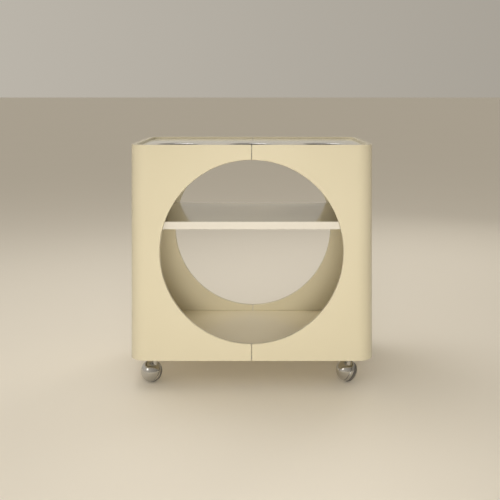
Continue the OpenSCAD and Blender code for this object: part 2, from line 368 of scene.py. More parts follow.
@dataclass(frozen=True)
class Rubber:
    """Moulded tread with scuffs and dust."""

    name: str
    colour: Colour
    dust: Colour
    grain_depth: float = 0.03 * MM

    def material(self) -> bpy.types.Material:
        """Builds the material."""
        g = Graph(self.name)
        scuffs = g.noise(160.0, detail=5.0, rough=0.7).above(0.48, gain=3.0)
        grain = g.noise(1500.0, detail=2.0)
        base = g.blend(scuffs * 0.5, self.colour, self.dust)
        normal = g.bump(grain, self.grain_depth, 0.5)
        return g.finish(Base_Color=base, Roughness=0.5 + scuffs * 0.3, Normal=normal)


# The shells get painted shade in a 1.25 mm band each side of their seam.
CREAM = Lacquer("cream_lacquer", (0.65, 0.595, 0.445), (0.63, 0.575, 0.415), joint=1.25 * MM)
# Painted light: a lighter copy of the cream lacquer for the flat floor panel, standing in for light that its
# face gets too little of.
CREAM_BOARD_PAINTED_LIGHT = Lacquer("cream_board_painted_light", (0.86, 0.79, 0.61), (0.84, 0.77, 0.58), rough=0.34, coat=0.3)
TOP_WHITE = Laminate("top_white", (0.86, 0.84, 0.74), 0.12)
SHELF_WHITE = Laminate("shelf_white", (0.88, 0.81, 0.64), 0.07)
EDGE_WHITE = Lacquer("edge_white", (0.68, 0.65, 0.59), (0.66, 0.63, 0.56), rough=0.34, coat=0.15)
WELL_CHROME = Metal("well_chrome", (0.82, 0.83, 0.85), 0.07, 0.08)
BALL_CHROME = Metal("ball_chrome", (0.60, 0.59, 0.57), 0.09, 0.18, 0.02 * MM)
ZINC = Metal("zinc_plate", (0.66, 0.67, 0.68), 0.32, 0.2, 0.02 * MM, (1.0, 12.0, 1.0))
SCREW_ZINC = Metal("screw_zinc", (0.60, 0.61, 0.62), 0.28, 0.2, 0.02 * MM)
PIN_NICKEL = Metal("pin_nickel", (0.74, 0.72, 0.68), 0.18, 0.15)
SLEEVE_BRASS = Metal("sleeve_brass", (0.72, 0.55, 0.28), 0.25, 0.2)
AXLE_STEEL = Metal("axle_steel", (0.62, 0.62, 0.63), 0.2, 0.15)
BEECH = Timber("beech", (0.52, 0.34, 0.18), (0.40, 0.24, 0.11))
TREAD = Rubber("tread_rubber", (0.10, 0.095, 0.09), (0.32, 0.29, 0.25))

Finish = Union[Lacquer, Laminate, Metal, Timber, Rubber]


class Paintbox:
    """Makes each finish once and hands it out."""

    def __init__(self) -> None:
        """Starts with no material made."""
        self.made: dict[str, bpy.types.Material] = {}

    def get(self, finish: Finish) -> bpy.types.Material:
        """The material of a finish, built on first use."""
        if finish.name not in self.made:
            self.made[finish.name] = finish.material()
        return self.made[finish.name]

    def dress(self, piece: bpy.types.Object, finish: Finish) -> None:
        """Puts one finish all over a piece."""
        piece.data.materials.clear()
        piece.data.materials.append(self.get(finish))


PAINT = Paintbox()


# ---- Bench: mesh work ------------------------------------------------------


class Part(Enum):
    """What a test on a mesh selects."""

    VERTS = "VERT"
    EDGES = "EDGE"
    FACES = "FACE"


EdgeTest = Callable[[bmesh.types.BMEdge], bool]


def upright(least: float) -> EdgeTest:
    """A test that takes the edges that rise by more than a height."""
    return lambda edge: abs(edge.verts[0].co.z - edge.verts[1].co.z) > least


def level(edge: bmesh.types.BMEdge) -> bool:
    """Whether both ends of an edge lie at one height."""
    return abs(edge.verts[0].co.z - edge.verts[1].co.z) < TOUCH


def box(node: str) -> tuple[Vector, Vector]:
    """Lowest and highest corner of a CAD node."""
    low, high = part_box(node)
    return Vector(low), Vector(high)


def merged(pieces: Sequence[bpy.types.Object]) -> bpy.types.Object:
    """Applies the placements of pieces, joins them into the first and gives it back."""
    for piece in pieces:
        piece.select_set(True)
    bpy.context.view_layer.objects.active = pieces[0]
    bpy.ops.object.transform_apply(location=True, rotation=True, scale=True)
    bpy.ops.object.join()
    bpy.ops.object.select_all(action="DESELECT")
    return pieces[0]


class Bench:
    """One mesh on the bench, shaped with edit-mode operators."""

    def __init__(self, name: str) -> None:
        """Remembers the name of the piece to come.

        Args:
            name: Name of the piece.
        """
        self.name = name
        if bpy.context.object and bpy.context.object.mode != "OBJECT":
            bpy.ops.object.mode_set(mode="OBJECT")
        bpy.ops.object.select_all(action="DESELECT")

    @property
    def piece(self) -> bpy.types.Object:
        """The object on the bench."""
        return bpy.context.view_layer.objects.active

    def cube(self, low: Sequence[float], high: Sequence[float]) -> "Bench":
        """Starts from a box between two corners."""
        low_v, high_v = Vector(low), Vector(high)
        bpy.ops.mesh.primitive_cube_add(size=1.0, location=(low_v + high_v) / 2)
        self.piece.name = self.name
        self.piece.scale = high_v - low_v
        bpy.ops.object.transform_apply(location=True, rotation=False, scale=True)
        bpy.ops.object.mode_set(mode="EDIT")
        return self

    def select(self, part: Part, test: Callable[[object], bool]) -> int:
        """Selects the verts, edges or faces that pass a test.

        Args:
            part: What is selected.
            test: Says whether an element is taken.

        Returns:
            How many were taken.
        """
        bpy.ops.mesh.select_mode(type=part.value)
        bpy.ops.mesh.select_all(action="DESELECT")
        mesh = bmesh.from_edit_mesh(self.piece.data)
        group = {Part.VERTS: mesh.verts, Part.EDGES: mesh.edges, Part.FACES: mesh.faces}[part]
        taken = [element for element in group if test(element)]
        for element in taken:
            element.select_set(True)
        bmesh.update_edit_mesh(self.piece.data)
        return len(taken)

    def bevel(self, width: float, segments: int, test: EdgeTest) -> "Bench":
        """Rounds the edges that pass a test.

        Args:
            width: Radius of the rounding.
            segments: Steps of the rounding.
            test: Says which edges are taken.

        Returns:
            The bench.
        """
        if not self.select(Part.EDGES, test):
            raise ValueError(f"{self.name}: nothing to bevel")
        bpy.ops.mesh.bevel(offset=width, segments=segments, affect="EDGES", profile=0.5, clamp_overlap=True)
        return self

    def lathe(self, rings: Sequence[tuple[float, float]], steps: int = 96, closed: bool = False) -> "Bench":
        """Turns an outline about Z by extruding and scaling one ring after another.

        Args:
            rings: Radius and height of each ring. A first or last radius of 0 is a pole.
            steps: Points of each ring.
            closed: Whether the last ring comes back to the first.

        Returns:
            The bench.
        """
        capped = rings[0][0] == 0.0
        run = list(rings[1:] if capped else rings)
        radius, height = run[0]
        bpy.ops.mesh.primitive_circle_add(
            vertices=steps, radius=radius, fill_type="TRIFAN" if capped else "NOTHING", location=(0, 0, 0)
        )
        self.piece.name = self.name
        bpy.ops.object.mode_set(mode="EDIT")
        bpy.ops.transform.translate(value=(0, 0, height))
        if capped and rings[0][1] != height:
            self.select(Part.VERTS, lambda v: v.co.xy.length < TOUCH / 10)
            bpy.ops.transform.translate(value=(0, 0, rings[0][1] - height))
        bpy.ops.mesh.select_mode(type="EDGE")
        bpy.ops.mesh.select_all(action="DESELECT")
        bpy.ops.mesh.select_non_manifold(extend=False, use_wire=True, use_boundary=True)
        for next_radius, next_height in run[1:]:
            bpy.ops.mesh.extrude_region_move(TRANSFORM_OT_translate={"value": (0, 0, next_height - height)})
            grow = next_radius / radius
            bpy.ops.transform.resize(value=(grow, grow, 1.0), center_override=(0, 0, 0))
            if next_radius == 0.0:
                break
            radius, height = next_radius, next_height
        if closed:
            bpy.ops.mesh.select_all(action="DESELECT")
            bpy.ops.mesh.select_non_manifold(extend=False)
            bpy.ops.mesh.bridge_edge_loops()
        return self.clean()

    def clean(self) -> "Bench":
        """Merges doubles and turns every face outwards."""
        bpy.ops.mesh.select_all(action="SELECT")
        bpy.ops.mesh.remove_doubles(threshold=TOUCH)
        bpy.ops.mesh.select_all(action="SELECT")
        bpy.ops.mesh.normals_make_consistent(inside=False)
        return self

    def put(self, matrix: Matrix) -> "Bench":
        """Moves the mesh to its place and keeps the object at the origin."""
        bpy.ops.object.mode_set(mode="OBJECT")
        self.piece.matrix_world = matrix
        bpy.ops.object.transform_apply(location=True, rotation=True, scale=True)
        bpy.ops.object.mode_set(mode="EDIT")
        return self

    def modifier(self, kind: str, **settings: object) -> "Bench":
        """Adds a modifier, sets it and applies it."""
        bpy.ops.object.mode_set(mode="OBJECT")
        made = self.piece.modifiers.new(kind.lower(), kind)
        for key, value in settings.items():
            setattr(made, key, value)
        bpy.ops.object.modifier_apply(modifier=made.name)
        bpy.ops.object.mode_set(mode="EDIT")
        return self

    def joined(self, other: bpy.types.Object, operation: str) -> "Bench":
        """Cuts or adds another object by a Boolean modifier, and removes that object."""
        self.modifier("BOOLEAN", operation=operation, object=other, solver="EXACT")
        bpy.data.objects.remove(other, do_unlink=True)
        return self

    def carve(self, block: bpy.types.Object, cutter: bpy.types.Object) -> "Bench":
        """Brings a block back to the bench and cuts it with another object, which goes."""
        bpy.context.view_layer.objects.active = block
        bpy.ops.object.mode_set(mode="EDIT")
        return self.joined(cutter, "DIFFERENCE")

    def off(self, angle: float = 35.0, weighted: bool = True) -> bpy.types.Object:
        """Takes the finished piece off the bench.

        Args:
            angle: Edges sharper than this many degrees stay sharp.
            weighted: Whether flat faces keep their own normals.

        Returns:
            The piece, in object mode.
        """
        bpy.ops.object.mode_set(mode="OBJECT")
        bpy.ops.object.shade_smooth_by_angle(angle=math.radians(angle), keep_sharp_edges=True)
        if weighted:
            made = self.piece.modifiers.new("weighted", "WEIGHTED_NORMAL")
            made.keep_sharp = True
            made.weight = 100
            bpy.ops.object.modifier_apply(modifier=made.name)
        piece = self.piece
        bpy.ops.object.select_all(action="DESELECT")
        return piece


def install(piece: bpy.types.Object, finish: Finish, body: str, slot: str, *nodes: str) -> None:
    """Dresses a new piece, makes it ride on its body and stand for its CAD nodes.

    Args:
        piece: The finished piece.
        finish: Its finish.
        body: The body it moves with.
        slot: The record's material slot; not used.
        nodes: The CAD nodes it stands for.
    """
    PAINT.dress(piece, finish)
    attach(piece, body)
    if nodes:
        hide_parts(*nodes)
    LOG.info("%s: %d faces on %s", piece.name, len(piece.data.polygons), body)


def arc(centre: tuple[float, float], radius: float, start: float, end: float, steps: int) -> Outline:
    """Points of an arc in the plane of radius and height.

    Args:
        centre: Centre of the arc.
        radius: Its radius.
        start: First angle in degrees, from the radius axis.
        end: Last angle in degrees.
        steps: Number of steps.

    Returns:
        The points, both ends included.
    """
    turns = [math.radians(start + (end - start) * i / steps) for i in range(steps + 1)]
    return [(centre[0] + radius * math.cos(t), centre[1] + radius * math.sin(t)) for t in turns]


def half_chord(radius: float, offset: float) -> float:
    """Half the chord of a circle at a distance from its middle."""
    return math.sqrt(radius**2 - offset**2)


def height_angle(radius: float, height: float) -> float:
    """Angle in degrees of the point of a ball at a height."""
    return math.degrees(math.asin(height / radius))


def ball_arc(radius: float, first: float, last: float, steps: int) -> Outline:
    """Section of a ball round the origin from a first to a last height."""
    return arc((0, 0), radius, height_angle(radius, first), height_angle(radius, last), steps)


def facing(origin: Vector, way: Vector) -> Matrix:
    """Placement that puts the origin at a point and Z along a direction."""
    turn = Vector((0, 0, 1)).rotation_difference(way)
    return Matrix.Translation(origin) @ turn.to_matrix().to_4x4()


def bar(radius: float, low: float, high: float) -> Outline:
    """Outline of a plain round bar from one height to another."""
    return [(0.0, low), (radius, low), (radius, high), (0.0, high)]


def drilled(bench: Bench, rings: Outline, places: Sequence[Matrix], steps: int = DRILL_STEPS) -> Bench:
    """Bores turned holes into a block.

    Args:
        bench: The bench that made the block.
        rings: Outline of the cutter, from pole to pole.
        places: Placement of each hole.
        steps: Points round each hole.

    Returns:
        The bench, in edit mode.
    """
    block = bench.piece
    for place in places:
        bench.carve(block, Bench("drill").lathe(rings, steps).put(place).off(weighted=False))
    return bench


def joint(name: str) -> dict:
    """Entry of one of the frame's joints."""
    return next(j for j in frame["joints"] if j["name"] == name)


# ---- Body ------------------------------------------------------------------


class Side(Enum):
    """The two halves of the body."""

    LEFT = -1
    RIGHT = 1

    @property
    def word(self) -> str:
        """The side's name in lower case."""
        return self.name.lower()


@dataclass
class Shells:
    """The two C-shaped half shells."""

    wall: float = 12 * MM
    corner: float = 42 * MM
    edge: float = 5 * MM
    inner_edge: float = 3 * MM
    opening: float = 230 * MM
    opening_height: float = 272 * MM
    lip: float = 2.5 * MM
    groove: float = 2.4 * MM
    corner_steps: int = 24
    opening_steps: int = 180
    opening_slack: float = 0.6 * MM
    shortest: float = 0.5 * MM
    half_width: float = field(init=False)
    half_depth: float = field(init=False)
    low: float = field(init=False)
    high: float = field(init=False)

    def __post_init__(self) -> None:
        """Reads the outer sizes from the frame."""
        low, high = box("shell_right")
        self.half_width, self.half_depth, self.high = high
        self.low = low.z

    def depth_in(self, point: Vector) -> float:
        """How far a point lies inside the outer outline.

        Args:
            point: The point.

        Returns:
            Its distance from the outline.
        """
        x, y = abs(point.x), abs(point.y)
        across, along = x - self.half_width + self.corner, y - self.half_depth + self.corner
        if across > 0 and along > 0:
            return self.corner - math.hypot(across, along)
        return min(self.half_width - x, self.half_depth - y)

    def at_depth(self, edge: bmesh.types.BMEdge, depth: float) -> bool:
        """Whether both ends of an edge lie at a depth inside the outline."""
        return all(abs(self.depth_in(v.co) - depth) < 5 * NEAR for v in edge.verts)

    def at_rim(self, edge: bmesh.types.BMEdge) -> bool:
        """Whether an edge lies in the plane of the upper or lower rim."""
        return any(all(abs(v.co.z - z) < NEAR for v in edge.verts) for z in (self.low, self.high))

    def on_seam(self, edge: bmesh.types.BMEdge, seam: float) -> bool:
        """Whether an edge runs up the seam on a face of the wall."""
        first, second = (v.co for v in edge.verts)
        on_plane = abs(first.x - seam) < NEAR and abs(second.x - seam) < NEAR
        return on_plane and abs(first.y - second.y) < NEAR and abs(first.z - second.z) > self.wall / 2

    def on_opening(self, edge: bmesh.types.BMEdge) -> bool:
        """Whether an edge is part of the round edge of an opening."""
        middle, slack = self.low + self.opening_height, self.opening_slack
        on_ring = all(abs(math.hypot(v.co.x, v.co.z - middle) - self.opening) < slack for v in edge.verts)
        first, second = (v.co for v in edge.verts)
        return on_ring and abs(first.y - second.y) < NEAR and (first - second).length > self.shortest

    def opening_core(self) -> bpy.types.Object:
        """The round bar that cuts both openings, lying along the depth."""
        Bench("opening_core")
        step = math.pi / self.opening_steps
        bpy.ops.mesh.primitive_cylinder_add(
            vertices=self.opening_steps,
            radius=self.opening / math.cos(step),
            depth=3 * self.half_depth,
            location=(0, 0, self.low + self.opening_height),
            rotation=(math.pi / 2, step, 0),
        )
        bpy.ops.object.transform_apply(location=True, rotation=True, scale=True)
        return bpy.context.object

    def half(self, side: Side) -> bpy.types.Object:
        """Models one half shell.

        Args:
            side: Which half.

        Returns:
            The piece.
        """
        core = self.opening_core()
        inner = box(f"shell_{side.word}")[0 if side is Side.RIGHT else 1].x
        bench = Bench(f"shell_{side.word}_lacquered").cube(
            (-self.half_width, -self.half_depth, self.low), (self.half_width, self.half_depth, self.high)
        )
        bench.bevel(self.corner, self.corner_steps, upright(self.wall))
        bench.select(Part.FACES, lambda f: abs(f.normal.z) > 0.9)
        bpy.ops.mesh.delete(type="FACE")
        bpy.ops.mesh.select_all(action="SELECT")
        bpy.ops.mesh.bisect(plane_co=(inner, 0, 0), plane_no=(side.value, 0, 0), clear_inner=True)
        bench.modifier("SOLIDIFY", thickness=self.wall, offset=-1.0, use_even_offset=True)
        bench.joined(core, "DIFFERENCE").clean()
        bench.bevel(self.lip, 5, self.on_opening)
        bench.bevel(self.groove / 2 - abs(inner), 1, lambda e: self.on_seam(e, inner))
        bench.bevel(self.edge, 7, lambda e: self.at_rim(e) and self.at_depth(e, 0.0))
        bench.bevel(self.inner_edge, 5, lambda e: self.at_rim(e) and self.at_depth(e, self.wall))
        return bench.clean().off()

    def build(self) -> None:
        """Models and installs both halves."""
        for side in Side:
            install(self.half(side), CREAM, "cart", "cream_lacquer", f"shell_{side.word}")


@dataclass
class Wells:
    """Three spun chrome wells set into the top."""

    places: tuple[str, ...] = ("left", "centre", "right")
    thick: float = 1.2 * MM
    flange: float = 6 * MM
    fillet: float = 6 * MM
    lip: float = 1.4 * MM
    steps: int = 128

    def seat(self, place: str) -> tuple[Vector, float, float]:
        """Where a well lies.

        Args:
            place: The well's place across.

        Returns:
            The middle of its box, the reach of its flange, and the height of the flange's underside.
        """
        low, high = box(f"bottle_well_{place}")
        return (low + high) / 2, (high.x - low.x) / 2, high.z - 2 * self.thick

    def outline(self, radius: float, depth: float) -> Outline:
        """Section of a well, from the middle of its bottom inside to the middle outside.

        Args:
            radius: Inside radius.
            depth: Depth below the flange's underside.

        Returns:
            Radius and height of each ring, from the flange's underside.
        """
        t, fillet, lip = self.thick, self.fillet, self.lip
        turn, bottom, crown = radius + t - fillet, fillet - depth, radius + self.flange
        return (
            [(0.0, t - depth), (0.5 * radius, t - depth), (turn - 1.5 * MM, t - depth)]
            + arc((turn, bottom), fillet - t, -90, 0, 8)
            + [(radius, -3 * MM)]
            + arc((radius + lip, t - lip), lip, 180, 90, 6)
            + [(crown - 0.3 * MM, t), (crown, 2 * t)]
            + arc((crown + 0.15 * MM, t), t * 0.98, 85, -80, 10)
            + [(crown, 0.0), (radius + t + 0.4 * MM, 0.0), (radius + t, -0.5 * MM)]
            + arc((turn, bottom), fillet, 0, -90, 8)
            + [(0.5 * radius, -depth), (0.0, -depth)]
        )

    def build(self) -> None:
        """Models and installs the wells."""
        for place in self.places:
            node = f"bottle_well_{place}"
            middle, reach, seat = self.seat(place)
            outline = self.outline(reach - self.flange - self.thick, seat - box(node)[0].z)
            bench = Bench(f"{node}_spun").lathe(outline, self.steps)
            bench.put(Matrix.Translation((middle.x, middle.y, seat)))
            install(bench.off(50.0), WELL_CHROME, "cart", "well_chrome", node)


@dataclass
class Boards:
    """The top, the shelf with its edging, and the floor."""

    corner: float = 30 * MM
    wall: float = 12 * MM
    arris: float = 0.8 * MM
    fit: float = 0.3 * MM
    ease: float = 0.1 * MM
    pocket_spare: float = 4 * MM
    hole_spare: float = 1.5 * MM

    def board(self, node: str, name: str, arris: float) -> Bench:
        """A flat board with round corners and eased edges.

        Args:
            node: The CAD node that gives its box.
            name: Name of the piece.
            arris: Rounding of its edges.

        Returns:
            The bench with the board on it.
        """
        low, high = box(node)
        gap = box("shell_right")[1].x - self.wall - high.x
        bench = Bench(name).cube(low, high)
        return bench.bevel(self.corner - gap, 16, upright(5 * MM)).bevel(arris, 3, level)

    def top(self) -> None:
        """The top panel with a hole and a seat for each well."""
        wells = Wells()
        bench = self.board("top_panel", "top_panel_glossy", self.arris)
        low, high = box("top_panel")
        under, over = low.z - REACH / 2, high.z + REACH / 2
        for place in wells.places:
            middle, reach, seat = wells.seat(place)
            hole, wide = reach - wells.flange + self.fit, reach + self.fit
            rings = [(0.0, under), (hole, under), (hole, seat), (wide, seat), (wide, over), (0.0, over)]
            drilled(bench, rings, [Matrix.Translation((middle.x, middle.y, 0.0))], wells.steps)
        install(bench.clean().off(), TOP_WHITE, "cart", "white_laminate_top", "top_panel")

    def shelf(self) -> None:
        """The shelf board and its two edging strips."""
        bench = self.board("shelf", "shelf_board", 0.4 * MM)
        block, margin = bench.piece, Vector((0.0, 0.0, self.wall))
        for end, sign in (("front", -1), ("rear", 1)):
            low, high = box(f"shelf_edging_{end}")
            spare = Vector((0.0, self.wall * sign, 0.0))
            low, high = (low + spare, high) if sign < 0 else (low, high + spare)
            bench.carve(block, Bench("notch").cube(low - margin, high + margin).off(weighted=False))
        install(bench.clean().off(), SHELF_WHITE, "cart", "white_laminate", "shelf")
        for end in ("front", "rear"):
            node = f"shelf_edging_{end}"
            strip = Bench(f"{node}_strip").cube(*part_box(node))
            strip.bevel(0.4 * MM, 2, lambda e: abs(e.verts[0].co.x - e.verts[1].co.x) > 0.1)
            install(strip.clean().off(), EDGE_WHITE, "cart", "white_edging", node)

    def floor(self) -> None:
        """The floor panel, with a pocket and four pilot holes from below for each caster's plate."""
        bench = self.board("floor_panel", "floor_panel_lacquered", self.arris)
        under = box("floor_panel")[0].z
        for corner in Corner:
            caster = BallCaster(corner)
            for piece, radius, spare, spots in (
                ("plate", caster.boss, self.pocket_spare, [Matrix.Identity(4)]),
                ("screws", caster.screw_shank, self.hole_spare, caster.screw_spots(0.0)),
            ):
                deep = box(f"caster_{piece}_{corner.value}")[1].z - under + spare
                places = [caster.plate_frame() @ spot for spot in spots]
                drilled(bench, bar(radius + self.ease, -REACH, deep), places)
        # The floor panel wears the lightened copy of the cream lacquer, which is painted light.
        install(bench.clean().off(), CREAM_BOARD_PAINTED_LIGHT, "cart", "cream_panel", "floor_panel")

    def build(self) -> None:
        """Models and installs the boards."""
        self.top()
        self.shelf()
        self.floor()


# ---- Fixings ---------------------------------------------------------------


@dataclass(frozen=True)
class Screw:
    """A cross-head screw along Z, with the underside of its head at 0."""

    head: float
    height: float
    shank: float
    length: float
    cross_wide: float = 0.75 * MM
    cross_deep: float = 1.0 * MM
    cross_reach: float = 0.62
    edge: float = 0.3 * MM
    tip: float = 1.6 * MM
    steps: int = 32

    def one(self, name: str) -> bpy.types.Object:
        """Models one screw.

        Args:
            name: Name of the piece.

        Returns:
            The screw.
        """
        blades = []
        reach, half = self.head * self.cross_reach, self.cross_wide / 2
        for long, wide in ((reach, half), (half, reach)):
            low = (-long, -wide, -2 * self.height)
            high = (long, wide, self.cross_deep - self.height)
            blades.append(Bench("blade").cube(low, high).off(weighted=False))
        head, shank, edge, top = self.head, self.shank, self.edge, -self.height
        rings = (
            [(0.0, top), (head * 0.7, top), (head * 0.9, top + edge), (head, top + 2.5 * edge)]
            + [(head, -edge / 2), (head - edge / 2, 0.0), (shank, 0.0), (shank, self.length - self.tip)]
            + [(shank * 0.3, self.length - edge), (0.0, self.length)]
        )
        bench = Bench(name).lathe(rings, self.steps)
        for blade in blades:
            bench.joined(blade, "DIFFERENCE")
        return bench.clean().off(30.0, weighted=False)

    def row(self, name: str, places: Sequence[Matrix]) -> bpy.types.Object:
        """Copies of the screw joined into one piece.

        Args:
            name: Name of the piece.
            places: Placement of each screw.

        Returns:
            The piece.
        """
        first = self.one(name)
        copies = [first]
        while len(copies) < len(places):
            copy = first.copy()
            copy.data = first.data.copy()
            bpy.context.scene.collection.objects.link(copy)
            copies.append(copy)
        for copy, place in zip(copies, places):
            copy.matrix_world = place
        return merged(copies)


@dataclass
class Fixings:
    """Cleats, seam bars, shelf pins and sleeves, each with its screws."""

    head: float = 3 * MM
    head_height: float = 1.8 * MM
    shank: float = 1.6 * MM
    arris: float = 0.7 * MM
    inner_screws: float = 22 * MM
    pin: float = 2.5 * MM
    sleeve: float = 4 * MM
    turned_edge: float = 0.4 * MM
    ring_place: float = 3 * MM
    turned_steps: int = 32

    def screws(self, node: str, way: Vector, sides: Sequence[float]) -> list[Matrix]:
        """Models one node's screws.

        Args:
            node: The CAD node.
            way: The direction that the screws point in.
            sides: Places along the row: -1 and 1 for its ends, else metres from the middle.

        Returns:
            Placement of each screw, at the underside of its head.
        """
        low, high = box(node)
        axis = 0 if way.x else 1
        along = 1 - axis
        start = low[axis] if way[axis] > 0 else high[axis]
        length = (high - low)[axis] - self.head_height
        places = []
        for place in sides:
            origin = (low + high) / 2
            origin[axis] = start + way[axis] * self.head_height
            origin[along] = place * (high[along] - self.head) if abs(place) == 1 else place
            places.append(facing(origin, way))
        screw = Screw(self.head - 0.1 * MM, self.head_height, self.shank, length)
        install(screw.row(f"{node}_turned", places), SCREW_ZINC, "cart", "screw_steel", node)
        return places

    def block(self, node: str, name: str, places: Sequence[Matrix], sunk: bool, arris: float) -> Bench:
        """A straight block with eased edges and screw holes.

        Args:
            node: The CAD node that gives its box.
            name: Name of the piece.
            places: Placement of each screw.
            sunk: Whether a counterbore takes each head.
            arris: Rounding of its edges.

        Returns:
            The bench with the block on it.
        """
        bench = Bench(name).cube(*box(node)).bevel(arris, 2, lambda e: True)
        reach = 2 * REACH
        rings = bar(self.shank, -reach, reach)
        if sunk:
            rings = [(0.0, -reach), (self.head, -reach), (self.head, 0.0), (self.shank, 0.0)] + rings[2:]
        return drilled(bench, rings, places).clean()

    def side_pieces(self, side: Side) -> None:
        """The cleats, pins and sleeves of one side wall."""
        way = Vector((side.value, 0, 0))
        for level in ("top", "floor"):
            node = f"{level}_cleat_{side.word}"
            places = self.screws(f"{level}_cleat_screws_{side.word}", way, (-1, 0, 1))
            bench = self.block(node, f"{node}_planed", places, True, self.arris)
            install(bench.off(), BEECH, "cart", "beech", node)
        self.turned_row(f"shelf_pins_{side.word}", way, PIN_NICKEL, "pin_steel")
        self.turned_row(f"shelf_sleeves_{side.word}", way, SLEEVE_BRASS, "brass")

    def turned_row(self, node: str, way: Vector, finish: Finish, slot: str) -> None:
        """Three pins or three sleeves of one side wall.

        Args:
            node: The CAD node.
            way: The direction into the wall.
            finish: Their finish.
            slot: Their material slot.
        """
        low, high = box(node)
        length, edge, half = high.x - low.x, self.turned_edge, self.turned_edge / 2
        solid = "pins" in node
        if solid:
            outer, ring = self.pin, self.ring_place
            rings = [(0.0, 0.0), (outer - edge, 0.0), (outer, edge), (outer, ring)]
            rings += [(outer - half, ring + half), (outer - half, ring + 3 * half), (outer, ring + 4 * half)]
            rings += [(outer, length - edge), (outer - edge, length), (0.0, length)]
        else:
            bore, outer = self.pin, self.sleeve
            rings = [(bore, half), (bore + half, 0.0), (outer - half, 0.0), (outer, half)]
            rings += [(outer, length - half), (outer - half, length), (bore, length)]
        start = low.x if way.x > 0 else high.x
        pieces = []
        for y in (low.y + outer, 0.0, high.y - outer):
            bench = Bench(f"{node}_turned").lathe(rings, self.turned_steps, closed=not solid)
            bench.put(facing(Vector((start, y, (low.z + high.z) / 2)), way))
            pieces.append(bench.off(40.0, weighted=False))
        install(merged(pieces), finish, "cart", slot, node)

    def end_pieces(self, end: str, sign: int) -> None:
        """The two seam bars of the front or the rear.

        Args:
            end: Which end.
            sign: Its sign along Y.
        """
        for level in ("upper", "lower"):
            node = f"{level}_seam_bar_{end}"
            row = (-1, -self.inner_screws, self.inner_screws, 1)
            places = self.screws(f"{level}_seam_screws_{end}", Vector((0, sign, 0)), row)
            bench = self.block(node, f"{node}_zinc", places, False, self.arris / 2)
            install(bench.off(), ZINC, "cart", "zinc_steel", node)

    def build(self) -> None:
        """Models and installs every fixing."""
        for side in Side:
            self.side_pieces(side)
        for end, sign in (("front", -1), ("rear", 1)):
            self.end_pieces(end, sign)


# ---- Casters ---------------------------------------------------------------


class Corner(Enum):
    """Where the casters stand."""

    FRONT_LEFT = "front_left"
    FRONT_RIGHT = "front_right"
    REAR_LEFT = "rear_left"
    REAR_RIGHT = "rear_right"


